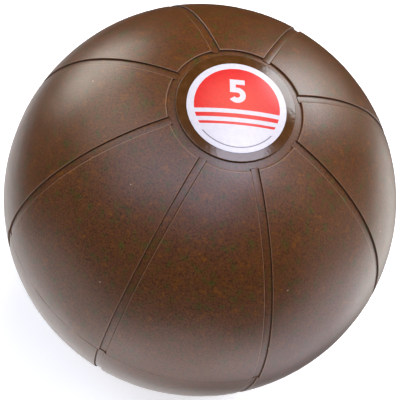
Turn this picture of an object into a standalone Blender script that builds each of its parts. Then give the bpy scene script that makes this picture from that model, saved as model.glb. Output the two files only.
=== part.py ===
"""A filled medicine ball, in metres, +Z up, with its origin at the ball's centre.

The ball is two moulded half shells of soft vinyl, butted at the equator over a joining hoop. Each
half has eight flat-bottomed channels that run to a ring channel round its pole. Inside the ring a
round port is closed by a disc with a spigot: the upper disc carries the label, and the lower one
holds the air valve and its pull-out stopper. The heavy fill lies settled in the lower part.

Both poles are drawn as the upper one, with +Z out of the ball, and what belongs below is turned over.
"""

from math import asin, cos, pi, radians, sin, sqrt

import bpy

# The ball
BALL_RADIUS = 0.120
WALL = 0.006
GAP = 0.0003  # between pieces that touch

# The channels on its surface
PANELS = 8
CHANNEL_WIDTH = 0.0048
CHANNEL_DEPTH = 0.0010
RING_WIDTH = 0.0048
RING_DEPTH = 0.0013
HALVES_TWIST = radians(-0.5)  # how far the lower half was joined out of line with the upper

# The closing discs and the ports that they fill
DISC_RADIUS = 0.0344
DISC_RISE = 0.0004  # the disc's crown over the panels
WEB_THICKNESS = 0.0012  # behind the valve's flange, and as deep in both discs
PORT_RADIUS = 0.018
COLLAR_WALL = 0.004
COLLAR_DROP = 0.004
SPIGOT_WALL = 0.003
SPIGOT_BEYOND_COLLAR = 0.001

# The label
LABEL_MARGIN = 0.0058  # bare rim of the disc round the label
LABEL_THICKNESS = 0.0002
LABEL_GLUE = 0.0001

# The joining hoop inside the seam
HOOP_HALF_HEIGHT = 0.008
HOOP_THICKNESS = 0.003
HOOP_LET_IN = 0.002  # depth of the rebate in the wall that the hoop lies in

# The air valve
LAND_WIDTH = 0.0035  # the flat ring that the ball rests on
FLANGE_RADIUS = 0.0095
FLANGE_THICKNESS = 0.0018
FLANGE_SINK = 0.0004  # below the land
TUBE_RADIUS = 0.0050
TUBE_LENGTH = 0.011
BARB_RISE = 0.0012
BARB_LENGTH = 0.003
PEG_RADIUS = 0.0022
PEG_SLIP = 0.00015
PEG_LENGTH = 0.011
PEG_TAPER = 0.0008
HEAD_RADIUS = 0.0045
HEAD_THICKNESS = 0.0010
HEAD_SINK = 0.0003  # below the flange

# The fill
FILL_OVER_HOOP = 0.004  # the settled surface above the hoop's top edge

# Fineness
TURN_STEPS = 64
VALVE_STEPS = 32
ARC_STEP = radians(7.5)

# Worked out from the sizes above
INNER_RADIUS = BALL_RADIUS - WALL
SEAT_RADIUS = BALL_RADIUS - RING_DEPTH
CROWN_RADIUS = BALL_RADIUS + DISC_RISE
RING_RADIUS = DISC_RADIUS + RING_WIDTH
LABEL_RADIUS = DISC_RADIUS - LABEL_MARGIN
HOOP_RADIUS = INNER_RADIUS + HOOP_LET_IN - GAP
COLLAR_RADIUS = PORT_RADIUS + COLLAR_WALL
SPIGOT_RADIUS = PORT_RADIUS - GAP
RECESS_RADIUS = FLANGE_RADIUS + GAP
LAND_RADIUS = RECESS_RADIUS + LAND_WIDTH


def height_on(sphere_radius, from_axis):
    """The height of a sphere's upper half at a distance from the Z axis."""
    return sqrt(sphere_radius**2 - from_axis**2)


COLLAR_END = height_on(INNER_RADIUS, COLLAR_RADIUS) - COLLAR_DROP
SPIGOT_END = COLLAR_END - SPIGOT_BEYOND_COLLAR
LAND_HEIGHT = height_on(CROWN_RADIUS, LAND_RADIUS)
FLANGE_TOP = LAND_HEIGHT - FLANGE_SINK
FLANGE_UNDERSIDE = FLANGE_TOP - FLANGE_THICKNESS
FLANGE_SEAT = FLANGE_UNDERSIDE - GAP
WEB_UNDERSIDE = FLANGE_SEAT - WEB_THICKNESS
TUBE_END = FLANGE_TOP - TUBE_LENGTH
HEAD_TOP = FLANGE_TOP - HEAD_SINK
HEAD_UNDERSIDE = HEAD_TOP - HEAD_THICKNESS
PEG_END = HEAD_UNDERSIDE - PEG_LENGTH


def arc(sphere_radius, start, end):
    """Outline points on a sphere, from one distance off the axis to another, on the upper half."""
    first, last = asin(start / sphere_radius), asin(end / sphere_radius)
    count = max(1, round(abs(last - first) / ARC_STEP))
    turns = [first + (last - first) * i / count for i in range(count + 1)]
    return [(sphere_radius * sin(t), sphere_radius * cos(t)) for t in turns]


def clear_scene():
    for old in list(bpy.data.objects):
        bpy.data.objects.remove(old)


def collection(name):
    made = bpy.data.collections.new(name)
    bpy.context.scene.collection.children.link(made)
    return made


def material(name, color, roughness, coat=0.0):
    made = bpy.data.materials.new(name)
    made.use_nodes = True
    shader = made.node_tree.nodes["Principled BSDF"]
    shader.inputs["Base Color"].default_value = (*color, 1)
    shader.inputs["Roughness"].default_value = roughness
    shader.inputs["Coat Weight"].default_value = coat
    return made


def turned(name, outline, home, closed, steps=TURN_STEPS):
    """A solid turned about its own Z axis from an outline that runs down its outer side first."""
    mesh = bpy.data.meshes.new(name)
    edges = [(i, i + 1) for i in range(len(outline) - 1)]
    if closed:
        edges.append((len(outline) - 1, 0))
    mesh.from_pydata([(x, 0, z) for x, z in outline], edges, [])
    piece = bpy.data.objects.new(name, mesh)
    home.objects.link(piece)
    screw = piece.modifiers.new("turn", "SCREW")
    screw.steps = screw.render_steps = steps
    screw.use_merge_vertices = True
    screw.merge_threshold = 1e-6
    screw.use_smooth_shade = True
    return piece


def settle(piece):
    """Makes the piece's modifiers part of its mesh."""
    graph = bpy.context.evaluated_depsgraph_get()
    mesh = bpy.data.meshes.new_from_object(piece.evaluated_get(graph))
    piece.modifiers.clear()
    piece.data = mesh
    mesh.name = piece.name


def finished(piece, look):
    """The piece with its look, shaded smooth except over its edges."""
    if piece.modifiers:
        settle(piece)
    piece.data.shade_smooth()
    piece.data.set_sharp_from_angle(angle=radians(30))
    piece.data.materials.clear()
    piece.data.materials.append(look)
    return piece


def half_shell_outline():
    """From the ring channel down the outside, then the rebate, the inner wall, the collar and the seat."""
    seam = GAP / 2
    rebate_end = HOOP_HALF_HEIGHT + GAP
    rebate_radius = HOOP_RADIUS + GAP
    return [
        *arc(BALL_RADIUS, RING_RADIUS, height_on(BALL_RADIUS, seam)),
        (rebate_radius, seam),
        (rebate_radius, rebate_end),
        *arc(INNER_RADIUS, height_on(INNER_RADIUS, rebate_end), COLLAR_RADIUS),
        (COLLAR_RADIUS, COLLAR_END),
        (PORT_RADIUS, COLLAR_END),
        *arc(SEAT_RADIUS, PORT_RADIUS, RING_RADIUS),
    ]


def channel_cutter(turn, home):
    """A flat hoop that stands on edge round the ball and cuts two opposite channels."""
    floor, outside = BALL_RADIUS - CHANNEL_DEPTH, BALL_RADIUS + 2 * CHANNEL_DEPTH
    side = CHANNEL_WIDTH / 2
    outline = [(outside, side), (outside, -side), (floor, -side), (floor, side)]
    cutter = turned(f"channel_cutter_{turn}", outline, home, closed=True)
    cutter.rotation_euler = (pi / 2, 0, 2 * pi * turn / PANELS)
    cutter.hide_render = True
    cutter.display_type = "WIRE"
    return cutter


def shells(parts, cutters):
    """Both halves come from one mould: the lower is the upper turned over and a little out of line."""
    upper = turned("upper_shell", half_shell_outline(), parts, closed=True)
    for turn in range(PANELS // 2):
        cut = upper.modifiers.new(f"channels_{turn}", "BOOLEAN")
        cut.operation = "DIFFERENCE"
        cut.object = channel_cutter(turn, cutters)
    vinyl = material("moulded_vinyl", (0.100, 0.045, 0.018), 0.5)
    finished(upper, vinyl)
    lower = bpy.data.objects.new("lower_shell", upper.data)
    parts.objects.link(lower)
    lower.rotation_euler = (pi, 0, HALVES_TWIST)


def disc_outside():
    """The disc's rim, its underside over the seat, and its spigot down to the end."""
    underside = SEAT_RADIUS + GAP
    inside = SPIGOT_RADIUS - SPIGOT_WALL
    return [
        *arc(underside, DISC_RADIUS, SPIGOT_RADIUS),
        (SPIGOT_RADIUS, SPIGOT_END),
        (inside, SPIGOT_END),
        (inside, WEB_UNDERSIDE),
    ]


def closing_discs(parts):
    polished = material("polished_vinyl", (0.070, 0.034, 0.013), 0.15, coat=0.5)
    label_arc = arc(CROWN_RADIUS, 0, LABEL_RADIUS)
    rim_arc = arc(CROWN_RADIUS, LABEL_RADIUS, DISC_RADIUS)
    filler = [*label_arc, *rim_arc[1:], *disc_outside(), (0, WEB_UNDERSIDE)]
    finished(turned("filler_disc", filler, parts, closed=False), polished)

    bore = TUBE_RADIUS + GAP
    valve = [
        (RECESS_RADIUS, LAND_HEIGHT),
        *arc(CROWN_RADIUS, LAND_RADIUS, DISC_RADIUS),
        *disc_outside(),
        (bore, WEB_UNDERSIDE),
        (bore, FLANGE_SEAT),
        (RECESS_RADIUS, FLANGE_SEAT),
    ]
    disc = finished(turned("valve_disc", valve, parts, closed=True), polished)
    disc.rotation_euler = (pi, 0, 0)


def label(parts):
    """A thin printed disc that follows the filler disc's crown."""
    under = arc(CROWN_RADIUS + LABEL_GLUE, 0, LABEL_RADIUS)
    top = arc(CROWN_RADIUS + LABEL_GLUE + LABEL_THICKNESS, 0, LABEL_RADIUS)
    look = material("printed_label", (0.80, 0.81, 0.84), 0.35)
    finished(turned("label", top + under[::-1], parts, closed=False), look)


def joining_hoop(parts):
    """A band bonded inside both halves, across the seam."""
    inside, top = HOOP_RADIUS - HOOP_THICKNESS, HOOP_HALF_HEIGHT
    outline = [(HOOP_RADIUS, top), (HOOP_RADIUS, -top), (inside, -top), (inside, top)]
    look = material("plain_vinyl", (0.060, 0.030, 0.015), 0.7)
    finished(turned("joining_hoop", outline, parts, closed=True), look)


def valve_body(parts):
    """A soft flanged tube pushed through the disc, with a barb behind the disc's web."""
    head_room = HEAD_RADIUS + GAP
    barb_top = WEB_UNDERSIDE - GAP
    bore = PEG_RADIUS + PEG_SLIP
    outline = [
        (head_room, FLANGE_TOP),
        (FLANGE_RADIUS, FLANGE_TOP),
        (FLANGE_RADIUS, FLANGE_UNDERSIDE),
        (TUBE_RADIUS, FLANGE_UNDERSIDE),
        (TUBE_RADIUS, barb_top),
        (TUBE_RADIUS + BARB_RISE, barb_top),
        (TUBE_RADIUS, barb_top - BARB_LENGTH),
        (TUBE_RADIUS, TUBE_END),
        (bore, TUBE_END),
        (bore, HEAD_UNDERSIDE - GAP),
        (head_room, HEAD_UNDERSIDE - GAP),
    ]
    look = material("valve_rubber", (0.020, 0.020, 0.021), 0.6)
    body = turned("valve_body", outline, parts, closed=True, steps=VALVE_STEPS)
    finished(body, look)
    body.rotation_euler = (pi, 0, 0)


def valve_stopper(parts):
    """A peg with a flat head. It pulls straight out of the valve, along the ball's axis."""
    outline = [
        (0, HEAD_TOP),
        (HEAD_RADIUS, HEAD_TOP),
        (HEAD_RADIUS, HEAD_UNDERSIDE),
        (PEG_RADIUS, HEAD_UNDERSIDE),
        (PEG_RADIUS, PEG_END + PEG_TAPER),
        (PEG_RADIUS - PEG_TAPER, PEG_END),
        (0, PEG_END),
    ]
    look = material("stopper_plastic", (0.55, 0.55, 0.53), 0.4)
    peg = turned("valve_stopper", outline, parts, closed=False, steps=VALVE_STEPS)
    finished(peg, look)
    peg.rotation_euler = (pi, 0, 0)


def ballast_fill(parts):
    """The fill at rest: flat on top, against the wall, round the hoop and over the lower spigot."""
    radius = INNER_RADIUS - GAP
    collar_gap, spigot_gap = GAP - COLLAR_END, GAP - min(SPIGOT_END, TUBE_END, PEG_END)
    level = HOOP_HALF_HEIGHT + FILL_OVER_HOOP
    hoop_edge = HOOP_HALF_HEIGHT + GAP
    at_hoop = HOOP_RADIUS - HOOP_THICKNESS - GAP
    above = arc(radius, height_on(radius, level), height_on(radius, hoop_edge))
    below = arc(radius, height_on(radius, hoop_edge), COLLAR_RADIUS + GAP)
    outline = [
        (0, level),
        *above,
        (at_hoop, hoop_edge),
        (at_hoop, -hoop_edge),
        *[(x, -z) for x, z in below],
        (COLLAR_RADIUS + GAP, collar_gap),
        (SPIGOT_RADIUS + GAP, collar_gap),
        (SPIGOT_RADIUS + GAP, spigot_gap),
        (0, spigot_gap),
    ]
    look = material("heavy_gel", (0.35, 0.31, 0.24), 0.5)
    finished(turned("ballast_fill", outline, parts, closed=False), look)


def build_ball():
    clear_scene()
    parts, cutters = collection("medicine_ball"), collection("cutters")
    shells(parts, cutters)
    joining_hoop(parts)
    closing_discs(parts)
    label(parts)
    valve_body(parts)
    valve_stopper(parts)
    ballast_fill(parts)


build_ball()
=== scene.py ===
# %% [markdown]
# A filled medicine ball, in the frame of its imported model: metres, +Z out of the labelled pole, and
# the ball's centre at the origin. The real ball is two thick half shells of soft PVC, moulded in one
# tool and joined at the equator. A glossy disc closes the filling hole at each pole. Each piece below
# is made as its own solid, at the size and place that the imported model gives.

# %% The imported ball, and the sizes that it gives
from math import asin, atan2, cos, hypot, pi, radians, sin, sqrt

import bmesh
import bpy
import numpy as np
from mathutils import Matrix, Vector, noise
from mathutils.geometry import delaunay_2d_cdt


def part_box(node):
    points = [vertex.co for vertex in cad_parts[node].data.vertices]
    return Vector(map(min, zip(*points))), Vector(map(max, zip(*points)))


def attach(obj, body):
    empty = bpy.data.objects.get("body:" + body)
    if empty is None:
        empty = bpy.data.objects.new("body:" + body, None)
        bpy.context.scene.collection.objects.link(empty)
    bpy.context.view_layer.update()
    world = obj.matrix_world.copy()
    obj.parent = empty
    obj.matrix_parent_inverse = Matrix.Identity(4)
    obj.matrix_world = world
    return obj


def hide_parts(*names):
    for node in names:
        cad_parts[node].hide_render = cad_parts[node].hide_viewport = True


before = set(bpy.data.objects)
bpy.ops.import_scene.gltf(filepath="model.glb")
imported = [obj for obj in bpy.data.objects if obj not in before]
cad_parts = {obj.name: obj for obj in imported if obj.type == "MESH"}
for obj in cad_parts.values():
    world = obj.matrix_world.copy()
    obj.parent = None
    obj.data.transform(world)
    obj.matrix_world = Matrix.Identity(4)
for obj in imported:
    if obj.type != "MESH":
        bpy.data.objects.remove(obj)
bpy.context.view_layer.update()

MM = 0.001

DISC_RISE = 0.4 * MM  # the discs' crowns over the panels
CROWN_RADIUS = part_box("filler_disc")[1].z
BALL_RADIUS = CROWN_RADIUS - DISC_RISE
DISC_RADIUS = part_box("filler_disc")[1].x
LABEL_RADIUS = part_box("label")[1].x
RESTING_LEVEL = -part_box("valve_disc")[0].z
print(f"ball {2000 * BALL_RADIUS:.0f} mm across, disc {2000 * DISC_RADIUS:.1f} mm, "
      f"label {2000 * LABEL_RADIUS:.1f} mm, rests {1000 * RESTING_LEVEL:.2f} mm below its centre")

# %% [markdown]
# The camera looks down on the ball from well above its equator, a little round to one side, and is
# rolled over, so that the labelled pole leans to the right. It is a long lens from ten ball radii
# away, which keeps the outline round and the far channels nearly as wide as the near ones.

# %% Camera
VIEW_AZIMUTH = radians(10.11)
VIEW_ELEVATION = radians(61.15)
VIEW_ROLL = radians(21.25)
VIEW_DISTANCE = 10 * BALL_RADIUS
LENS_MM = 175.9  # fills the frame with the ball from that distance
SENSOR_MM = 36

camera_data = bpy.data.cameras.new("camera")
camera_data.lens = LENS_MM
camera_data.sensor_width = SENSOR_MM
camera_data.clip_start = 0.05
camera = bpy.data.objects.new("camera", camera_data)
bpy.context.scene.collection.objects.link(camera)
toward_camera = Vector((sin(VIEW_AZIMUTH) * cos(VIEW_ELEVATION),
                        -cos(VIEW_AZIMUTH) * cos(VIEW_ELEVATION),
                        sin(VIEW_ELEVATION)))
turned_level = toward_camera.to_track_quat("Z", "Y").to_matrix().to_4x4()
camera.matrix_world = (Matrix.Translation(toward_camera * VIEW_DISTANCE)
                       @ turned_level @ Matrix.Rotation(VIEW_ROLL, 4, "Z"))
bpy.context.scene.camera = camera
print("camera at", [round(x, 3) for x in camera.location])

# %% [markdown]
# Colours are written as sRGB hex, as a paint or ink is picked on a screen. Blender's shaders work
# in linear light, so one function turns the hex into that. Noise scales are written as the size of
# the real grain in millimetres. One small function adds a shader node with its settings and links.

# %% Helpers for materials
def linear(hex_colour, strength=1.0):
    """An sRGB hex colour as linear RGBA, made stronger or weaker as light."""
    parts = [int(hex_colour[i:i + 2], 16) / 255 for i in (1, 3, 5)]
    return (*[strength * (p / 12.92 if p <= 0.04045 else ((p + 0.055) / 1.055) ** 2.4)
              for p in parts], 1)


def grain(millimetres):
    """The noise scale whose grains are that many millimetres across."""
    return 1 / (millimetres * MM)


def add_node(tree, kind, settings=(), links=()):
    """One shader node. A name that isn't the node's own is an input, and so is a number."""
    node = tree.nodes.new("ShaderNode" + kind)
    for name, value in dict(settings).items():
        if isinstance(name, str) and hasattr(node, name):
            setattr(node, name, value)
        else:
            node.inputs[name].default_value = value
    for name, source in dict(links).items():
        tree.links.new(source, node.inputs[name])
    return node


def ramp_stops(ramp, stops):
    """Sets a colour ramp's stops, each a place and a hex colour."""
    bar = ramp.color_ramp
    while len(bar.elements) < len(stops):
        bar.elements.new(0.5)
    for element, (place, colour) in zip(bar.elements, stops):
        element.position, element.color = place, linear(colour)


def new_material(name):
    """A material with an empty tree but for its Principled shader, and the place on the piece."""
    made = bpy.data.materials.new(name)
    made.use_nodes = True
    tree = made.node_tree
    shader = tree.nodes["Principled BSDF"]
    place = add_node(tree, "TexCoord").outputs["Object"]
    return made, tree, shader, place


# %% [markdown]
# The skin is plasticised PVC, rotationally moulded against a finely blasted tool. That gives a satin
# face: a soft grey sheen over brown, never a mirror. The pigment doesn't mix quite evenly, so the
# brown is mottled at three sizes, with odd specks of pale filler. The channel lips are painted a
# little paler, partly as wear from handling and partly as a painted highlight on edges that catch
# the light. The corners below them are painted dark, as painted shade. The mesh marks those places
# with two attributes.

# %% Satin moulded PVC
def moulded_pvc_satin():
    made, tree, shader, place = new_material("moulded_pvc_satin")
    clouds = add_node(tree, "TexNoise", {"Scale": grain(14), "Detail": 5, "Roughness": 0.6},
                      {"Vector": place})
    brown = add_node(tree, "ValToRGB", links={"Fac": clouds.outputs["Fac"]})
    ramp_stops(brown, [(0.32, "#57330F"), (0.5, "#623910"), (0.68, "#6D3E0B")])
    # Pigments that didn't mix fully: olive, red-brown and orange, in patches of five millimetres.
    patches = add_node(tree, "TexNoise", {"Scale": grain(5), "Detail": 2, "Roughness": 0.6},
                       {"Vector": place})
    pigment = add_node(tree, "ValToRGB", links={"Fac": patches.outputs["Fac"]})
    ramp_stops(pigment, [(0.3, "#434714"), (0.42, "#5F3B0F"), (0.52, "#63341D"), (0.6, "#653A0E"),
                         (0.72, "#7B4606")])
    mixed = add_node(tree, "Mix", {"data_type": "RGBA", "Factor": 0.7},
                     {6: brown.outputs["Color"], 7: pigment.outputs["Color"]})
    # The real powder grain is a few tenths of a millimetre. It is drawn at 1.1 mm so that it shows.
    powder = add_node(tree, "TexNoise", {"Scale": grain(1.1), "Detail": 2, "Roughness": 0.7},
                      {"Vector": place})
    shade = add_node(tree, "ValToRGB", links={"Fac": powder.outputs["Fac"]})
    ramp_stops(shade, [(0.36, "#8A8A8C"), (0.5, "#D6D6D6"), (0.64, "#F2F2F2")])
    mottled = add_node(tree, "Mix", {"data_type": "RGBA", "blend_type": "MULTIPLY", "Factor": 0.85},
                       {6: mixed.outputs[2], 7: shade.outputs["Color"]})
    # Loose specks of pale filler, under a millimetre across and about two centimetres apart.
    filler_grains = add_node(tree, "TexVoronoi", {"Scale": grain(19), "Randomness": 1.0},
                             {"Vector": place})
    speck = add_node(tree, "MapRange", {"From Min": 0.025, "From Max": 0.015},
                     {"Value": filler_grains.outputs["Distance"]})
    specked = add_node(tree, "Mix", {"data_type": "RGBA", 7: linear("#C4A795")},
                       {"Factor": speck.outputs["Result"], 6: mottled.outputs[2]})
    # Paler lips: partly wear from handling, partly a painted highlight where edges catch light.
    wear_and_highlight = add_node(tree, "Attribute", {"attribute_name": "wear_and_highlight"})
    wear_and_highlight_weight = add_node(tree, "Math", {"operation": "MULTIPLY", 1: 0.32}, {0: wear_and_highlight.outputs["Fac"]})
    worn_and_highlit = add_node(tree, "Mix", {"data_type": "RGBA", 7: linear("#9A7454")},
                    {"Factor": wear_and_highlight_weight.outputs["Value"], 6: specked.outputs[2]})
    # Painted shade: the creases and corners are painted dark brown, and made duller.
    painted_shade = add_node(tree, "Attribute", {"attribute_name": "painted_shade"})
    painted_shade_weight = add_node(tree, "Math", {"operation": "MULTIPLY", 1: 0.75}, {0: painted_shade.outputs["Fac"]})
    with_painted_shade = add_node(tree, "Mix", {"data_type": "RGBA", 7: linear("#2A150A")},
                     {"Factor": painted_shade_weight.outputs["Value"], 6: worn_and_highlit.outputs[2]})
    tree.links.new(with_painted_shade.outputs[2], shader.inputs["Base Color"])
    # The blasted tool leaves the gloss a little uneven from place to place.
    gloss = add_node(tree, "MapRange", {"To Min": 0.30, "To Max": 0.42},
                     {"Value": clouds.outputs["Fac"]})
    dulled = add_node(tree, "Math", {"operation": "MULTIPLY_ADD", 1: 0.35},
                      {0: painted_shade.outputs["Fac"], 2: gloss.outputs["Result"]})
    tree.links.new(dulled.outputs["Value"], shader.inputs["Roughness"])
    peel = add_node(tree, "TexNoise", {"Scale": grain(1.8), "Detail": 3, "Roughness": 0.6},
                    {"Vector": place})
    bump = add_node(tree, "Bump", {"Strength": 0.35, "Distance": 0.06 * MM},
                    {"Height": peel.outputs["Fac"]})
    tree.links.new(bump.outputs["Normal"], shader.inputs["Normal"])
    shader.inputs["IOR"].default_value = 1.57
    return made


# %% [markdown]
# The discs at the poles are cast in a polished mould from the same brown PVC. Polish gives a sharp
# reflection, so lamps show in them as bright shapes with clear edges. The casting shrinks unevenly
# near its rim and makes those edges wander.

# %% Polished cast PVC
def cast_pvc_polished():
    made, tree, shader, place = new_material("cast_pvc_polished")
    clouds = add_node(tree, "TexNoise", {"Scale": grain(5), "Detail": 4}, {"Vector": place})
    brown = add_node(tree, "ValToRGB", links={"Fac": clouds.outputs["Fac"]})
    ramp_stops(brown, [(0.35, "#472B11"), (0.55, "#4D3016"), (0.7, "#57371D")])
    tree.links.new(brown.outputs["Color"], shader.inputs["Base Color"])
    smear = add_node(tree, "TexNoise", {"Scale": grain(3), "Detail": 3}, {"Vector": place})
    gloss = add_node(tree, "MapRange", {"To Min": 0.08, "To Max": 0.2},
                     {"Value": smear.outputs["Fac"]})
    tree.links.new(gloss.outputs["Result"], shader.inputs["Roughness"])
    bump = add_node(tree, "Bump", {"Strength": 0.3, "Distance": 0.05 * MM},
                    {"Height": smear.outputs["Fac"]})
    tree.links.new(bump.outputs["Normal"], shader.inputs["Normal"])
    shader.inputs["IOR"].default_value = 1.53
    return made


# %% [markdown]
# The label is a screen-printed vinyl sticker. White vinyl film is smooth and slightly blue, and the
# red ink lies on it as flat, even colour with a little more gloss than the film.

# %% Printed film
def printed_film(name, colour, shade, roughness):
    made, tree, shader, place = new_material(name)
    fibre = add_node(tree, "TexNoise", {"Scale": grain(2.5), "Detail": 5}, {"Vector": place})
    ink = add_node(tree, "ValToRGB", links={"Fac": fibre.outputs["Fac"]})
    ramp_stops(ink, [(0.35, shade), (0.6, colour)])
    tree.links.new(ink.outputs["Color"], shader.inputs["Base Color"])
    bump = add_node(tree, "Bump", {"Strength": 0.15, "Distance": 0.02 * MM},
                    {"Height": fibre.outputs["Fac"]})
    tree.links.new(bump.outputs["Normal"], shader.inputs["Normal"])
    shader.inputs["Roughness"].default_value = roughness
    shader.inputs["IOR"].default_value = 1.5
    return made


# %% [markdown]
# The remaining materials are small or hidden. The valve is black nitrile rubber with a dull bloom,
# its stopper is natural nylon, the hoop is unpolished PVC and the fill is a dense water gel.

# %% Plain materials with a grain
def grained(name, dark, pale, grain_mm, roughness, ior=1.5, bump_mm=0.03, subsurface=0.0):
    """A material whose colour and surface both follow one grain."""
    made, tree, shader, place = new_material(name)
    field = add_node(tree, "TexNoise", {"Scale": grain(grain_mm), "Detail": 5, "Roughness": 0.6},
                     {"Vector": place})
    colour = add_node(tree, "ValToRGB", links={"Fac": field.outputs["Fac"]})
    ramp_stops(colour, [(0.35, dark), (0.65, pale)])
    tree.links.new(colour.outputs["Color"], shader.inputs["Base Color"])
    gloss = add_node(tree, "MapRange", {"To Min": roughness - 0.08, "To Max": roughness + 0.08},
                     {"Value": field.outputs["Fac"]})
    tree.links.new(gloss.outputs["Result"], shader.inputs["Roughness"])
    bump = add_node(tree, "Bump", {"Strength": 0.4, "Distance": bump_mm * MM},
                    {"Height": field.outputs["Fac"]})
    tree.links.new(bump.outputs["Normal"], shader.inputs["Normal"])
    shader.inputs["IOR"].default_value = ior
    shader.inputs["Subsurface Weight"].default_value = subsurface
    return made


SATIN_PVC = moulded_pvc_satin()
POLISHED_PVC = cast_pvc_polished()
WHITE_FILM = printed_film("white_vinyl_film", "#C9C7CC", "#C3C1C8", 0.3)
RED_INK = printed_film("screen_printed_red_ink", "#CC1F24", "#C41C20", 0.28)
GREY_INK = printed_film("screen_printed_grey_ink", "#6E6A70", "#625E64", 0.3)
BLACK_RUBBER = grained("nitrile_rubber_moulded", "#101011", "#1C1C1D", 0.6, 0.6, ior=1.52)
NYLON = grained("natural_nylon_moulded", "#C9C6BC", "#D6D4CB", 1.5, 0.38, ior=1.53, subsurface=0.15)
RAW_PVC = grained("pvc_band_extruded", "#3C2717", "#52361F", 1.0, 0.65)
GEL = grained("dense_water_gel", "#8C7B5C", "#A8987A", 6.0, 0.3, ior=1.36, bump_mm=0.2)
print(len(bpy.data.materials), "materials so far, the packed model's among them")

# %% [markdown]
# A channel's section decides how it catches the light. Its floor is flat and its sides are upright,
# with a narrow crease at the foot of each, where the tool's rib had a burr. The crease draws the dark
# line along a channel, helped by painted shade, and the lip above it is rounded where the PVC shrank
# round the tool. The ring round the disc has a shallower crease and a softer lip, so its outer edge
# shows as a pale line beside a thin dark one. The pale line is partly a painted highlight, and the
# dark one partly painted shade.

# %% The section of a channel
PANELS = 8
CHANNEL_WIDTH = 4.8 * MM
CHANNEL_DEPTH = 1.0 * MM
RING_WIDTH = 4.8 * MM
RING_DEPTH = 1.3 * MM
CREASE_WIDTH = 0.38 * MM
CREASE_DEPTH = 0.35 * MM
LIP_ROUND = 0.32 * MM
RING_LIP = 0.6 * MM
RING_CREASE_DEPTH = 0.1 * MM
RING_RADIUS = DISC_RADIUS + RING_WIDTH
PORT_RADIUS = 18 * MM
# Over a crease: share of its width from the side, share of its depth, and how much shade is painted
# there.
CREASE_SECTION = ((1.3, 0, 0), (1.0, 0.1, 0.3), (0.7, 0.8, 1), (0.4, 1, 1), (0.1, 0.6, 1))
LIP_STEPS = 5
LIP_END = 1.8  # where the panel's own surface starts, in lip radii from the groove's side


def groove_side(edge, depth, crease, lip_round):
    """(place, depth, painted shade) over a groove's side, from its floor to the panel."""
    foot = [(edge - share * CREASE_WIDTH, depth + down * crease, dark)
            for share, down, dark in CREASE_SECTION]
    quarter_turn = [pi / 2 * i / LIP_STEPS for i in range(LIP_STEPS + 1)]
    lip = [(edge + lip_round - lip_round * cos(t), lip_round - lip_round * sin(t), t == 0)
           for t in quarter_turn]
    return [*foot, *lip, (edge + LIP_END * lip_round, 0, 0)]


channel_side = groove_side(CHANNEL_WIDTH / 2, CHANNEL_DEPTH, CREASE_DEPTH, LIP_ROUND)
ring_side = groove_side(RING_RADIUS, RING_DEPTH, RING_CREASE_DEPTH, RING_LIP)
print(len(channel_side), "points over each side of a channel")

# %% [markdown]
# Each half shell could be a sphere with grooves cut by Booleans, but that leaves slivers along the
# cuts, and they show in a satin surface. Here the mesh is laid out like the moulding instead. Its
# columns run along the channels at fixed distances from their middles, and its rows are circles
# round the pole. Every edge then has its own loops, and the panels stay clean quads.

# %% Columns and rows of a half shell
PANEL_COLUMNS = 26
PANEL_ROWS = 56
SEAT_ROWS = 6
SEAT_END = RING_RADIUS - 2 * MM
SEAM_BAND = 1.6 * MM  # beside the seam, where the rows lie closer
SEAM_GROOVE = 0.09 * MM
# Beside the seam: millimetres from it, and share of the groove's depth.
SEAM_SECTION = ((1.1, 0), (0.8, 0), (0.55, 0), (0.35, 0), (0.2, 0.15), (0.1, 0.55), (0.04, 1.0))
SEAM_LEVEL = SEAM_SECTION[-1][0] * MM


def sector_columns():
    """(share of the way over the panel, distance from the channel's middle, depth, painted shade)."""
    left = [(0.0, 0.0, CHANNEL_DEPTH, 0.0), *[(0.0, *point) for point in channel_side]]
    edge = channel_side[-1][0]
    panel = [(i / PANEL_COLUMNS, edge, 0.0, 0.0) for i in range(1, PANEL_COLUMNS)]
    right = [(1.0, *point) for point in reversed(channel_side)]
    return left + panel + right


def outside_rows():
    """(polar angle, depth, painted shade) over the seat, the ring's side, a panel and the seam."""
    seat = [(PORT_RADIUS + (SEAT_END - PORT_RADIUS) * i / SEAT_ROWS, RING_DEPTH, 0.0)
            for i in range(SEAT_ROWS + 1)]
    rows = [(asin(place / (BALL_RADIUS - depth)), depth, painted_shade)
            for place, depth, painted_shade in seat + ring_side]
    start, end = rows[-1][0], pi / 2 - asin(SEAM_BAND / BALL_RADIUS)
    rows += [(start + (end - start) * i / PANEL_ROWS, 0.0, 0.0) for i in range(1, PANEL_ROWS + 1)]
    rows += [(pi / 2 - asin(up * MM / BALL_RADIUS), share * SEAM_GROOVE, 0.0)
             for up, share in SEAM_SECTION]
    return rows


COLUMNS = sector_columns()
ROWS = outside_rows()
print(len(COLUMNS) * PANELS, "columns and", len(ROWS), "rows outside")

# %% [markdown]
# Inside, the shell is plain: a thick wall, a rebate at the seam for the joining hoop, and a collar
# round the port. Those rows close the solid. Outside, each channel's floor stands out into the ring
# as a short ledge. A little unevenness is left in the outer skin, because a soft moulding is never
# a true sphere, and flat reflections would give the model away.

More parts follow.
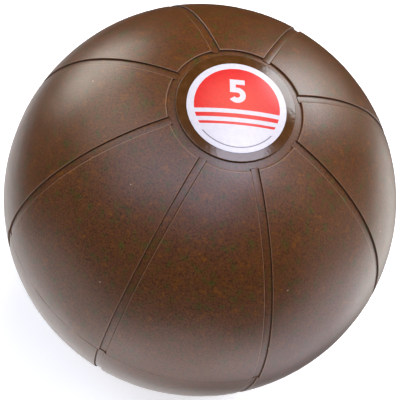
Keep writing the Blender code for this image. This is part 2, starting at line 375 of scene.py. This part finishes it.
# %% One half shell
WALL = 6 * MM
INNER_RADIUS = BALL_RADIUS - WALL
INNER_ROWS = 16
HOOP_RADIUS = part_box("joining_hoop")[1].x
HOOP_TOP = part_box("joining_hoop")[1].z
GAP = 0.3 * MM  # between pieces that touch
COLLAR_WALL = 4 * MM
COLLAR_DROP = 4 * MM
COLLAR_RADIUS = PORT_RADIUS + COLLAR_WALL
COLLAR_END = sqrt(INNER_RADIUS ** 2 - COLLAR_RADIUS ** 2) - COLLAR_DROP
LEDGE = 1.2 * MM  # how far a channel's floor stands out into the ring
LEDGE_START = 0.9 * MM  # the rows further inside the ring's side than this keep to its floor
LEDGE_RUN = 4 * MM  # over this length of channel, the ledge's push fades out
END_CREASE_WIDTH = 0.3 * MM
END_CREASE_DEPTH = 0.2 * MM
FLASH_HEIGHT = 0.45 * MM
FLASH_WIDTH = 0.7 * MM
UNEVENNESS = 0.10 * MM
BROAD_SWELLS, FINE_SWELLS = 7, 16  # how closely the unevenness repeats over the ball


def inside_rows():
    """(distance from the axis, height) from the seam back to the port."""
    rebate = HOOP_RADIUS + GAP
    top = HOOP_TOP + GAP
    start, end = asin(top / INNER_RADIUS), pi / 2 - asin(COLLAR_RADIUS / INNER_RADIUS)
    angles = [start + (end - start) * i / INNER_ROWS for i in range(INNER_ROWS + 1)]
    wall = [(INNER_RADIUS * cos(t), INNER_RADIUS * sin(t)) for t in angles]
    return [(rebate, SEAM_LEVEL), (rebate, top), *wall, (COLLAR_RADIUS, COLLAR_END),
            (PORT_RADIUS, COLLAR_END)]


def flash(height_over_seam):
    """How much of the flash line's height stands at that distance from the seam."""
    return max(0.0, 1 - (height_over_seam / FLASH_WIDTH) ** 2)


SECTOR = 2 * pi / PANELS
share, place, depth, corner_shade = (np.tile(x, PANELS) for x in zip(*COLUMNS))
starts = np.repeat(np.arange(PANELS) * SECTOR, len(COLUMNS))
in_channel = np.minimum(depth / CHANNEL_DEPTH, 1)


def ring_of_points(radius, height):
    """A row's points, its columns held at their distances from the channels' middles."""
    turn = np.arcsin(place / radius)
    around = starts + (1 - share) * turn + share * (SECTOR - turn)
    return np.stack([radius * np.cos(around), radius * np.sin(around),
                     np.zeros(len(starts)) + height], 1)


def outside_ring(angle, ring_depth, row_shade):
    """The points of a row outside, how much pale paint each has for wear and painted highlight, and
    how much painted shade.
    """
    # A channel's floor stands out into the ring, most at the ring's side, then less and less.
    from_side = (BALL_RADIUS - ring_depth) * sin(angle) - RING_RADIUS
    on_ring_floor = from_side < -LEDGE_START
    reach = LEDGE * max(0.0, 1 - max(from_side, 0) / LEDGE_RUN) * (not on_ring_floor)
    # The creases are deepest near the ring and shallow at the seam, where the tool wore most.
    crease = (0.3 + 0.7 * cos(angle)) * np.maximum(depth - CHANNEL_DEPTH, 0)
    sunk = np.minimum(depth, CHANNEL_DEPTH) + crease
    sunk -= FLASH_HEIGHT * flash(BALL_RADIUS * cos(angle)) * (in_channel > 0.2)
    sunk = np.maximum(ring_depth, np.maximum(sunk, 0) * (not on_ring_floor))
    # A crease also runs round the channel's end, where its floor stands over the ring's.
    at_end = (-END_CREASE_WIDTH < from_side < 0) * (in_channel > 0.9)
    sunk = sunk + END_CREASE_DEPTH * at_end
    lean = angle - reach / BALL_RADIUS * in_channel
    points = ring_of_points((BALL_RADIUS - sunk) * np.sin(lean), (BALL_RADIUS - sunk) * np.cos(lean))
    # Pale paint on the lips: partly wear, partly a painted highlight.
    channel_lip = (sunk < 0.6 * LIP_ROUND) & (place < channel_side[-1][0]) & (depth < LIP_ROUND)
    ring_lip = (sunk < 0.7 * RING_LIP) & (0 < from_side < 1.2 * RING_LIP)
    wear_and_highlight = np.maximum(channel_lip, 0.5 * ring_lip)
    # Painted shade in the channels' creases: darkest near the ring, fading towards the seam.
    crease_shade = corner_shade * (0.35 + 0.65 * cos(angle)) * (from_side > 0) * (sunk > 0.2 * MM)
    # Painted shade also goes into the ring's crease beside the channels, and into each channel's end
    # crease.
    ring_crease_shade = 0.5 * row_shade * (1 - in_channel)
    return points, wear_and_highlight, np.maximum(ring_crease_shade, np.maximum(crease_shade, 0.8 * at_end))


def half_shell_mesh(name, seed):
    outside = [outside_ring(*row) for row in ROWS]
    inside = [ring_of_points(radius, height) for radius, height in inside_rows()]
    points = np.concatenate([ring for ring, _, _ in outside] + inside)
    for i in range(len(outside) * len(starts)):
        way = Vector(points[i]).normalized()
        broad = noise.noise(way * BROAD_SWELLS + Vector((seed, 0, 0)))
        fine = noise.noise(way * FINE_SWELLS)
        points[i] += np.array(way) * (broad + 0.5 * fine) * UNEVENNESS
    unmarked = np.zeros(len(inside) * len(starts))
    marks = {"wear_and_highlight": np.concatenate([wear_and_highlight for _, wear_and_highlight, _ in outside] + [unmarked]),
             "painted_shade": np.concatenate([painted_shade for _, _, painted_shade in outside] + [unmarked])}
    return grid_mesh(name, points, len(outside) + len(inside), len(starts), marks)


def grid_mesh(name, points, rows, columns, marks):
    """A closed mesh of quads from rows of points that join up both ways round."""
    i, j = np.meshgrid(np.arange(rows), np.arange(columns), indexing="ij")
    below, beside = (i + 1) % rows, (j + 1) % columns
    quads = np.stack([i * columns + j, below * columns + j, below * columns + beside,
                      i * columns + beside], -1).reshape(-1, 4)
    mesh = bpy.data.meshes.new(name)
    mesh.from_pydata(points.tolist(), [], quads.tolist())
    for mark, values in marks.items():
        mesh.attributes.new(mark, "FLOAT", "POINT").data.foreach_set("value", values)
    return mesh


SHARP_OVER = radians(40)  # an edge that turns more than this stays sharp in the shading


def volume_of(mesh):
    """The volume in cubic metres, above zero when the faces point out."""
    form = bmesh.new()
    form.from_mesh(mesh)
    volume = form.calc_volume(signed=True)
    form.free()
    return volume


def add_piece(name, mesh, materials, body, slot, *nodes):
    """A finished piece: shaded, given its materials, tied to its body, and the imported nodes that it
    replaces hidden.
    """
    mesh.shade_smooth()
    mesh.set_sharp_from_angle(angle=SHARP_OVER)
    for look in materials:
        mesh.materials.append(look)
    piece = bpy.data.objects.new(name, mesh)
    bpy.context.scene.collection.objects.link(piece)
    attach(piece, body)
    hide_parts(*nodes)
    print(f"{name}: {len(mesh.polygons)} faces, {volume_of(mesh) * 1e6:.2f} ml")
    return piece


# %% [markdown]
# Both halves come from one tool, so the lower half is the upper one turned over. It was joined half
# a degree out of line, and the channels step sideways by a millimetre where they cross the seam.

# %% Two half shells
HALVES_TWIST = radians(-0.5)

upper_mesh = half_shell_mesh("upper_half_skin", seed=3)
add_piece("upper_half_skin", upper_mesh, [SATIN_PVC], "ball", "moulded_vinyl", "upper_shell")
lower_mesh = half_shell_mesh("lower_half_skin", seed=11)
lower_mesh.transform(Matrix.Rotation(HALVES_TWIST, 4, "Z") @ Matrix.Rotation(pi, 4, "X"))
add_piece("lower_half_skin", lower_mesh, [SATIN_PVC], "ball", "moulded_vinyl", "lower_shell")

# %% [markdown]
# Discs, tubes and pegs are all turned forms, so one function spins an outline round the axis. It
# lays the points itself rather than with a Screw modifier, so that a finish can ruffle them after.
# Corners are rounded by a helper that swaps each marked corner for a short arc.

# %% Turned forms
def rounded(outline, fineness=4):
    """An outline whose corners with a radius, (x, z, radius), are rounded."""
    made = []
    for i, (x, z, *radius) in enumerate(outline):
        if not radius:
            made.append((x, z))
            continue
        corner = Vector((x, z))
        before = Vector(outline[i - 1][:2]) - corner
        after = Vector(outline[(i + 1) % len(outline)][:2]) - corner
        cut = min(radius[0], 0.49 * before.length, 0.49 * after.length)
        first, last = corner + before.normalized() * cut, corner + after.normalized() * cut
        for k in range(fineness + 1):
            t = k / fineness
            made.append(tuple((1 - t) ** 2 * first + 2 * t * (1 - t) * corner + t * t * last))
    return made


def dome(sphere_radius, start, end, count):
    """Outline points over a dome, from one distance off the axis to another."""
    return [(x, sqrt(sphere_radius ** 2 - x ** 2))
            for x in [start + (end - start) * i / count for i in range(count + 1)]]


def turned_mesh(name, outline, steps, ruffle=None, over=False):
    """A solid turned about Z from an outline that runs from the top outwards and down.
    Points on the axis become one point each. over turns the piece over, to the lower pole."""
    on_axis = 1e-9
    points, rings = [], []
    for x, z in outline:
        if x < on_axis:
            rings.append([len(points)] * steps)
            points.append((0, 0, z))
            continue
        rings.append(list(range(len(points), len(points) + steps)))
        for k in range(steps):
            around = 2 * pi * k / steps
            lift = ruffle(x, z, around) if ruffle else 0
            points.append((x * cos(around), x * sin(around), z + lift))
    faces = []
    closed = outline[0][0] > on_axis
    for i in range(len(rings) if closed else len(rings) - 1):
        upper, lower = rings[i], rings[(i + 1) % len(rings)]
        for k in range(steps):
            face = [upper[k], lower[k], lower[(k + 1) % steps], upper[(k + 1) % steps]]
            face = list(dict.fromkeys(face))
            if len(face) > 2:
                faces.append(face)
    mesh = bpy.data.meshes.new(name)
    mesh.from_pydata(points, [], faces)
    if over:
        mesh.transform(Matrix.Rotation(pi, 4, "X"))
    return mesh


# %% [markdown]
# The filler disc stands a hair proud of the panels. Its rim is a crisp corner, broken only by a
# small radius, and it drops straight to the floor of the ring. The casting ruffles near that rim,
# by a few hundredths of a millimetre, which is enough to fray the edge of a reflected lamp.

# %% Filler disc
DISC_STEPS = 384
RIM_ROUND = 0.6 * MM
SPIGOT_WALL = 3 * MM
SPIGOT_ROUND = 0.4 * MM
SPIGOT_RADIUS = PORT_RADIUS - GAP
SPIGOT_BORE = SPIGOT_RADIUS - SPIGOT_WALL
SPIGOT_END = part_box("filler_disc")[0].z
WEB_DEPTH = 3.7 * MM  # from the level that the ball rests on to the back of the web
WEB_UNDERSIDE = RESTING_LEVEL - WEB_DEPTH
SEAT_RADIUS = BALL_RADIUS - RING_DEPTH + GAP
RIM_HEIGHT = sqrt(CROWN_RADIUS ** 2 - DISC_RADIUS ** 2)
RUFFLE_HEIGHT = 0.035 * MM
RUFFLE_WIDTH = 6 * MM  # the ruffle has its full height over the outer half of this


def rim_ruffle(x, z, around):
    """The uneven shrink near the rim, on the crown only."""
    from_rim = DISC_RADIUS - x
    if z < 0.9 * CROWN_RADIUS or from_rim > RUFFLE_WIDTH:
        return 0
    place = Vector((cos(around), sin(around), 0)) * 40 + Vector((0, 0, from_rim / MM * 0.6))
    share_left = min(1, (RUFFLE_WIDTH - from_rim) / (0.5 * RUFFLE_WIDTH))
    return RUFFLE_HEIGHT * noise.noise(place) * share_left


def disc_outside():
    """The rim's corner, the flank, the underside over the seat and the spigot."""
    return [(DISC_RADIUS, RIM_HEIGHT, RIM_ROUND),
            *reversed(dome(SEAT_RADIUS, SPIGOT_RADIUS, DISC_RADIUS, 12)),
            (SPIGOT_RADIUS, SPIGOT_END, SPIGOT_ROUND),
            (SPIGOT_BORE, SPIGOT_END, SPIGOT_ROUND),
            (SPIGOT_BORE, WEB_UNDERSIDE)]


crown = dome(CROWN_RADIUS, 0, DISC_RADIUS - RIM_ROUND, 90)
filler = rounded([*crown, *disc_outside(), (0, WEB_UNDERSIDE)])
add_piece("filler_boss", turned_mesh("filler_boss", filler, DISC_STEPS, rim_ruffle),
          [POLISHED_PVC], "ball", "polished_vinyl", "filler_disc")

# %% [markdown]
# The label is one thin film with its print in the same surface, so the edges of the ink are cut
# into the mesh. A constrained triangulation takes the outlines of the print as its edges, and each
# triangle then gets the ink of the shape that it lies in. The print is a plain one: a red segment of
# a circle with the weight's figure left white, two red bars below it, and a fine grey line at the
# foot.

# %% The print's shapes
SEGMENT_RADIUS = 24.6 * MM
SEGMENT_FOOT = -3.0 * MM
WIDE_BAR = (-8.2 * MM, -5.6 * MM)  # its two edges, from the middle of the print
NARROW_BAR = (-12.4 * MM, -10.8 * MM)
GREY_LINE = (25.2 * MM, 25.8 * MM)
FIGURE_HEIGHT = 15.5 * MM
FIGURE_MIDDLE = 9.0 * MM
STROKE = 3.3 * MM


def ring_part(middle, inner, outer, start, end, steps):
    """The outline of a part of a flat ring, between two angles in degrees."""
    angles = [radians(start + (end - start) * i / steps) for i in range(steps + 1)]
    out = [(middle[0] + outer * cos(a), middle[1] + outer * sin(a)) for a in angles]
    back = [(middle[0] + inner * cos(a), middle[1] + inner * sin(a)) for a in reversed(angles)]
    return out + back


def circle_slice(low, high):
    """The part of the print's circle between two heights."""
    steps = 40
    start, end = asin(low / SEGMENT_RADIUS), asin(min(1, high / SEGMENT_RADIUS))
    right = [start + (end - start) * i / steps for i in range(steps + 1)]
    if high >= SEGMENT_RADIUS:
        right = right[:-1]
    side = [(SEGMENT_RADIUS * cos(a), SEGMENT_RADIUS * sin(a)) for a in right]
    top = [] if high < SEGMENT_RADIUS else [(0, SEGMENT_RADIUS)]
    return side + top + [(-x, y) for x, y in reversed(side)]


def figure_five():
    """The figure as a top bar, an upright and an open bowl."""
    top = FIGURE_MIDDLE + FIGURE_HEIGHT / 2
    bowl = FIGURE_HEIGHT * 0.325
    middle = (-0.4 * MM, FIGURE_MIDDLE - FIGURE_HEIGHT / 2 + bowl)
    left, right = middle[0] - 0.8 * bowl, middle[0] + 0.9 * bowl
    waist = middle[1] + bowl
    bar = [(left, top - STROKE), (right, top - STROKE), (right, top), (left, top)]
    upright = [(left, waist - STROKE), (left + STROKE, waist - STROKE), (left + STROKE, top),
               (left, top)]
    neck = [(left, waist - STROKE), (middle[0], waist - STROKE), (middle[0], waist), (left, waist)]
    return [bar, upright, neck, ring_part(middle, bowl - STROKE, bowl, -145, 90, 28)]


def fine_outline(shape):
    """The outline with its long edges split, so that they can follow the dome."""
    step = 0.8 * MM
    made = []
    for (ax, ay), (bx, by) in zip(shape, shape[1:] + shape[:1]):
        count = max(1, round(hypot(bx - ax, by - ay) / step))
        made += [(ax + (bx - ax) * i / count, ay + (by - ay) * i / count) for i in range(count)]
    return made


red_shapes = [fine_outline(circle_slice(*edges))
              for edges in ((SEGMENT_FOOT, SEGMENT_RADIUS), WIDE_BAR, NARROW_BAR)]
white_shapes = [fine_outline(shape) for shape in figure_five()]
grey_shapes = [ring_part((0, 0), *GREY_LINE, -140, -40, 60)]
print(len(red_shapes), "red shapes,", len(grey_shapes), "grey and", len(white_shapes), "white")

# %% [markdown]
# The film lies on the dome, so each point of the flat pattern is lifted to the dome's height, once
# for the face and once for the back. Rings of extra points between the outlines keep the triangles
# small, so that none of them cuts a corner through the dome.

# %% The label
LABEL_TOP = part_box("label")[1].z
GLUE = 0.1 * MM
LABEL_UNDER = CROWN_RADIUS + GLUE
PRINT_TURN = radians(28.5)  # the way up that the print is read
STUCK_OFF_CENTRE = (0.6 * MM, -0.9 * MM)  # it was put on by hand
EDGE_STEPS = 192
POINT_RINGS = 26
RING_STEP = 1.05 * MM
MERGE_DISTANCE = 1e-7


def inside(shape, x, y):
    """Whether a point lies in a closed outline."""
    crossings = False
    for (ax, ay), (bx, by) in zip(shape, shape[1:] + shape[:1]):
        if (ay > y) != (by > y) and x < ax + (y - ay) * (bx - ax) / (by - ay):
            crossings = not crossings
    return crossings


def ink_at(x, y):
    """The number of the material there: 0 for the white film, 1 for red ink, 2 for grey."""
    if any(inside(shape, x, y) for shape in white_shapes):
        return 0
    if any(inside(shape, x, y) for shape in red_shapes):
        return 1
    return 2 if any(inside(shape, x, y) for shape in grey_shapes) else 0


def flat_pattern():
    """The label's points and triangles in the flat, with the outlines of the print as edges."""
    edge = [(LABEL_RADIUS * cos(a), LABEL_RADIUS * sin(a))
            for a in [2 * pi * i / EDGE_STEPS for i in range(EDGE_STEPS)]]
    flat, joins = [], []
    for shape in [edge, *red_shapes, *grey_shapes, *white_shapes]:
        first = len(flat)
        flat += shape
        joins += [(first + i, first + (i + 1) % len(shape)) for i in range(len(shape))]
    for ring in range(1, POINT_RINGS + 1):
        flat += [(ring * RING_STEP * cos(2 * pi * i / (6 * ring)),
                  ring * RING_STEP * sin(2 * pi * i / (6 * ring))) for i in range(6 * ring)]
    cut = delaunay_2d_cdt([Vector(p) for p in flat], joins, [], 0, MERGE_DISTANCE, False)
    return [tuple(p) for p in cut[0]], [list(t) for t in cut[2]]


def label_mesh():
    points, triangles = flat_pattern()
    middles = [[sum(points[i][k] for i in triangle) / 3 for k in (0, 1)] for triangle in triangles]
    inks = [ink_at(x, y) for x, y in middles]
    rim = sorted((i for i, p in enumerate(points) if hypot(*p) > LABEL_RADIUS - 0.001 * MM),
                 key=lambda i: atan2(points[i][1], points[i][0]))
    count = len(points)
    spin = Matrix.Rotation(PRINT_TURN, 2)
    points = [tuple(spin @ Vector(p) + Vector(STUCK_OFF_CENTRE)) for p in points]
    solid = [(x, y, sqrt(LABEL_TOP ** 2 - x * x - y * y)) for x, y in points]
    solid += [(x, y, sqrt(LABEL_UNDER ** 2 - x * x - y * y)) for x, y in points]
    faces = triangles + [[i + count for i in reversed(t)] for t in triangles]
    faces += [[a, a + count, b + count, b] for a, b in zip(rim, rim[1:] + rim[:1])]
    mesh = bpy.data.meshes.new("label_film")
    mesh.from_pydata(solid, [], faces)
    mesh.polygons.foreach_set("material_index", inks + [0] * (len(faces) - len(inks)))
    return mesh


add_piece("label_film", label_mesh(), [WHITE_FILM, RED_INK, GREY_INK],
          "ball", "printed_label", "label")

# %% [markdown]
# The disc at the other pole holds the air valve. Its middle is a flat ring that the ball stands on,
# round a recess for the valve's flange. It is the same casting as the filler disc, bored through.

# %% Valve disc
FLANGE_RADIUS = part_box("valve_body")[1].x
FLANGE_TOP = -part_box("valve_body")[0].z
TUBE_END = -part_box("valve_body")[1].z
RECESS_RADIUS = FLANGE_RADIUS + GAP
RECESS_ROUND = 0.25 * MM
LAND_WIDTH = 3.5 * MM
LAND_RADIUS = RECESS_RADIUS + LAND_WIDTH
FLANGE_THICKNESS = 1.8 * MM
FLANGE_SEAT = FLANGE_TOP - FLANGE_THICKNESS - GAP
TUBE_RADIUS = 5 * MM

ringed = [(RECESS_RADIUS, RESTING_LEVEL, RECESS_ROUND),
          *dome(CROWN_RADIUS, LAND_RADIUS, DISC_RADIUS - RIM_ROUND, 60),
          *disc_outside(),
          (TUBE_RADIUS + GAP, WEB_UNDERSIDE),
          (TUBE_RADIUS + GAP, FLANGE_SEAT),
          (RECESS_RADIUS, FLANGE_SEAT)]
bored = turned_mesh("valve_boss", rounded(ringed), DISC_STEPS, rim_ruffle, over=True)
add_piece("valve_boss", bored, [POLISHED_PVC], "ball", "polished_vinyl", "valve_disc")

# %% [markdown]
# The valve is a soft rubber tube with a flange outside and a barb inside, like a grommet. Two fine
# grip rings are moulded into the flange. The nylon stopper lies in it, with a dished head and a
# notch where a fingernail lifts it.

# %% Valve and stopper
HEAD_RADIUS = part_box("valve_stopper")[1].x
HEAD_TOP = -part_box("valve_stopper")[0].z
PEG_END = -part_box("valve_stopper")[1].z
VALVE_STEPS = 128
HEAD_THICKNESS = 1.0 * MM
PEG_RADIUS = 2.2 * MM
PEG_TAPER = 0.8 * MM
SLIP = 0.15 * MM  # between the peg and the tube
HEAD_ROOM = HEAD_RADIUS + GAP
HEAD_SEAT = HEAD_TOP - HEAD_THICKNESS - GAP
BARB_TOP = WEB_UNDERSIDE - GAP
BARB_RISE = 1.2 * MM
BARB_LENGTH = 3 * MM
GRIP_RINGS = (6.2 * MM, 7.8 * MM)
GRIP_TOP = 0.35 * MM  # half the ring's width at the flange's face, and then at its foot
GRIP_FOOT = 0.12 * MM
GRIP_DEPTH = 0.3 * MM
NOTCH_START = 2.6 * MM
NOTCH_DEPTH = 0.55 * MM

grips = []
for middle in GRIP_RINGS:
    grips += [(middle - GRIP_TOP, FLANGE_TOP), (middle - GRIP_FOOT, FLANGE_TOP - GRIP_DEPTH),
              (middle + GRIP_FOOT, FLANGE_TOP - GRIP_DEPTH), (middle + GRIP_TOP, FLANGE_TOP)]
tube = [(HEAD_ROOM, FLANGE_TOP, 0.15 * MM),
        *grips,
        (FLANGE_RADIUS, FLANGE_TOP, 0.4 * MM),
        (FLANGE_RADIUS, FLANGE_TOP - FLANGE_THICKNESS, 0.2 * MM),
        (TUBE_RADIUS, FLANGE_TOP - FLANGE_THICKNESS),
        (TUBE_RADIUS, BARB_TOP),
        (TUBE_RADIUS + BARB_RISE, BARB_TOP, 0.2 * MM),
        (TUBE_RADIUS, BARB_TOP - BARB_LENGTH, 0.3 * MM),
        (TUBE_RADIUS, TUBE_END, 0.4 * MM),
        (PEG_RADIUS + SLIP, TUBE_END, 0.4 * MM),
        (PEG_RADIUS + SLIP, HEAD_SEAT),
        (HEAD_ROOM, HEAD_SEAT)]
add_piece("valve_tube", turned_mesh("valve_tube", rounded(tube), VALVE_STEPS, over=True),
          [BLACK_RUBBER], "ball", "valve_rubber", "valve_body")


def nail_notch(x, z, around):
    """A scoop in the head's edge, on one side only."""
    if z < HEAD_TOP - 0.6 * MM or x < NOTCH_START:
        return 0
    across = max(0.0, 1 - (around - pi) ** 2 / 0.3)
    return -NOTCH_DEPTH * across * (x - NOTCH_START) / (HEAD_RADIUS - NOTCH_START)


dish = [(0, HEAD_TOP - 0.3 * MM), (1.2 * MM, HEAD_TOP - 0.28 * MM),
        (2.0 * MM, HEAD_TOP - 0.15 * MM), (2.5 * MM, HEAD_TOP, 0.2 * MM)]
head_face = [(x * MM, HEAD_TOP) for x in (3.0, 3.6, 4.1)]  # points for the notch to bend
peg = [*dish,
       *head_face,
       (HEAD_RADIUS, HEAD_TOP, 0.3 * MM),
       (HEAD_RADIUS, HEAD_TOP - HEAD_THICKNESS, 0.15 * MM),
       (PEG_RADIUS, HEAD_TOP - HEAD_THICKNESS, 0.1 * MM),
       (PEG_RADIUS, PEG_END + PEG_TAPER, 0.3 * MM),
       (PEG_RADIUS - PEG_TAPER, PEG_END, 0.3 * MM),
       (0, PEG_END)]
turned_peg = turned_mesh("stopper_peg", rounded(peg), VALVE_STEPS, nail_notch, over=True)
add_piece("stopper_peg", turned_peg, [NYLON], "stopper", "stopper_plastic", "valve_stopper")

# %% [markdown]
# Two pieces stay inside. The hoop is a strip of PVC bonded across the seam, and its edges are
# broken so that they don't cut the shell. The fill is a gel that has settled to a level, with a
# slight climb where it meets the wall.

# %% Hoop and fill
INNER_STEPS = 192
HOOP_THICKNESS = 3 * MM
HOOP_ROUND = 0.5 * MM
HOOP_INSIDE = HOOP_RADIUS - HOOP_THICKNESS
hoop = [(HOOP_INSIDE, HOOP_TOP, HOOP_ROUND),
        (HOOP_RADIUS, HOOP_TOP, HOOP_ROUND),
        (HOOP_RADIUS, 0),
        (HOOP_RADIUS, -HOOP_TOP, HOOP_ROUND),
        (HOOP_INSIDE, -HOOP_TOP, HOOP_ROUND),
        (HOOP_INSIDE, 0)]
add_piece("hoop_band", turned_mesh("hoop_band", rounded(hoop), INNER_STEPS), [RAW_PVC],
          "ball", "plain_vinyl", "joining_hoop")

FILL_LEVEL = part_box("ballast_fill")[1].z
FILL_RADIUS = INNER_RADIUS - GAP
CLIMB = 1.5 * MM
CLIMB_POWER = 12  # high, so that the surface is level up to the last few centimetres
SURFACE_STEPS = 24
hoop_edge = HOOP_TOP + GAP
beside_hoop = sqrt(FILL_RADIUS ** 2 - hoop_edge ** 2)
surface_radius = sqrt(FILL_RADIUS ** 2 - FILL_LEVEL ** 2)
outward = [i / SURFACE_STEPS for i in range(SURFACE_STEPS + 1)]
surface = [(surface_radius * t, FILL_LEVEL - CLIMB * (1 - t ** CLIMB_POWER)) for t in outward]
under_hoop = [(x, -z) for x, z in reversed(dome(FILL_RADIUS, COLLAR_RADIUS + GAP, beside_hoop, 40))]
fill = [*surface,
        (beside_hoop, hoop_edge),
        (HOOP_INSIDE - GAP, hoop_edge),
        (HOOP_INSIDE - GAP, -hoop_edge),
        *under_hoop,
        (COLLAR_RADIUS + GAP, -COLLAR_END + GAP),
        (SPIGOT_RADIUS + GAP, -COLLAR_END + GAP),
        (SPIGOT_RADIUS + GAP, -SPIGOT_END + GAP),
        (0, -SPIGOT_END + GAP)]
add_piece("settled_gel", turned_mesh("settled_gel", fill, INNER_STEPS), [GEL],
          "ball", "heavy_gel", "ballast_fill")

# %% [markdown]
# The ball stands on a light table: a pale sheet that glows a little itself, so it stays white up to
# the ball. Such a table sends light up from below, and the underside of a ball shows that as a soft
# sheen. A flat sheet would show there as one even grey, so reflections don't see the sheet. The soft
# patches below the horizon, among the lamps, stand for its glow. The sheet is clear from behind, as
# a pane would be, so that the valve can be looked at from below.

# %% Floor
HALF_FLOOR = 4.0  # metres
TABLE_GLOW = 0.5
floor_mesh = bpy.data.meshes.new("floor")
floor_mesh.from_pydata([(x * HALF_FLOOR, y * HALF_FLOOR, -RESTING_LEVEL)
                        for x, y in ((-1, -1), (1, -1), (1, 1), (-1, 1))], [], [(0, 1, 2, 3)])
PAPER = grained("pale_sweep_paper", "#F4F4F3", "#F7F7F6", 20.0, 0.85, bump_mm=0.01)
paper_tree = PAPER.node_tree
paper_shader = paper_tree.nodes["Principled BSDF"]
paper_shader.inputs["Emission Color"].default_value = linear("#FFFFFF")
paper_shader.inputs["Emission Strength"].default_value = TABLE_GLOW
from_behind = add_node(paper_tree, "NewGeometry").outputs["Backfacing"]
pane = add_node(paper_tree, "BsdfTransparent").outputs["BSDF"]
one_sided = add_node(paper_tree, "MixShader",
                     links={0: from_behind, 1: paper_shader.outputs["BSDF"], 2: pane})
paper_tree.links.new(one_sided.outputs["Shader"],
                     paper_tree.nodes["Material Output"].inputs["Surface"])
floor_mesh.materials.append(PAPER)
floor = bpy.data.objects.new("floor", floor_mesh)
bpy.context.scene.collection.objects.link(floor)
floor.visible_glossy = False

# %% [markdown]
# The room is dark and the lamps are soft boxes, as in a product studio. They are part of the world
# and not objects. Each is a round patch of sky, even in the middle and soft at its edge. Two of them
# have firm edges and show as bright shapes in the polished discs. The others are wide and soft, and
# give the satin skin its broad grey sheens with brown between them. The backdrop is plain white and
# only the camera sees it.

# %% Lamps
LAMPS = {  # azimuth and elevation in degrees, half width, softness, colour, strength
    "overhead_box": (30, 77, 15, 3, "#E4E8FF", 8.2),
    "top_back": (100, 60, 16, 6, "#FFE0B8", 4.0),
    "camera_side": (285, 68, 15, 10, "#DCE2FF", 2.9),
    "back_box": (77, 26, 15, 2.5, "#F4FAFF", 8.8),
    "back_low": (77, 4, 12, 8, "#FFFBEC", 2.0),
    "left_low": (155, -2, 14, 8, "#FFFCF2", 5.6),
    "left_high": (178, 26, 14, 8, "#FFF2E6", 2.6),
    "left_top": (215, 52, 18, 10, "#D8E8FF", 2.8),
    "right_top": (20, 46, 14, 8, "#FFE9DF", 1.3),
    "right_edge": (15, -2, 20, 12, "#FFF6EE", 0.7),
    "right_glow": (0, -36, 24, 12, "#FEF7FF", 1.75),
    "front_glow": (300, -42, 24, 10, "#FFEFF0", 1.9),
    "left_glow": (240, -44, 24, 12, "#FFF6F6", 1.2),
    "back_glow": (47, -36, 16, 10, "#FFFFFA", 2.4),
    "under_glow": (160, -72, 26, 12, "#FFFDFD", 1.6),
}
BACKDROP = "#FFFFFF"


def studio_world():
    world = bpy.data.worlds.new("studio")
    world.use_nodes = True
    tree = world.node_tree
    background = tree.nodes["Background"]
    way = add_node(tree, "TexCoord").outputs["Generated"]
    dark_room = add_node(tree, "RGB")
    dark_room.outputs[0].default_value = linear("#000000")
    light = dark_room.outputs[0]
    for azimuth, elevation, half_width, softness, colour, strength in LAMPS.values():
        a, e = radians(azimuth), radians(elevation)
        toward = (cos(a) * cos(e), sin(a) * cos(e), sin(e))
        near = add_node(tree, "VectorMath", {"operation": "DOT_PRODUCT", 1: toward}, {0: way})
        patch = add_node(tree, "MapRange", {"interpolation_type": "SMOOTHSTEP",
                                            "From Min": cos(radians(half_width + softness)),
                                            "From Max": cos(radians(half_width - softness))},
                         {"Value": near.outputs["Value"]})
        light = add_node(tree, "VectorMath", {"operation": "MULTIPLY_ADD",
                                              1: linear(colour, strength)[:3]},
                         {0: patch.outputs["Result"], 2: light}).outputs["Vector"]
    seen = add_node(tree, "LightPath").outputs["Is Camera Ray"]
    shown = add_node(tree, "Mix", {"data_type": "RGBA", 7: linear(BACKDROP)},
                     {"Factor": seen, 6: light})
    tree.links.new(shown.outputs[2], background.inputs["Color"])
    return world


bpy.context.scene.world = studio_world()
bpy.context.scene.view_settings.view_transform = "Standard"
print(len(LAMPS), "lamps")
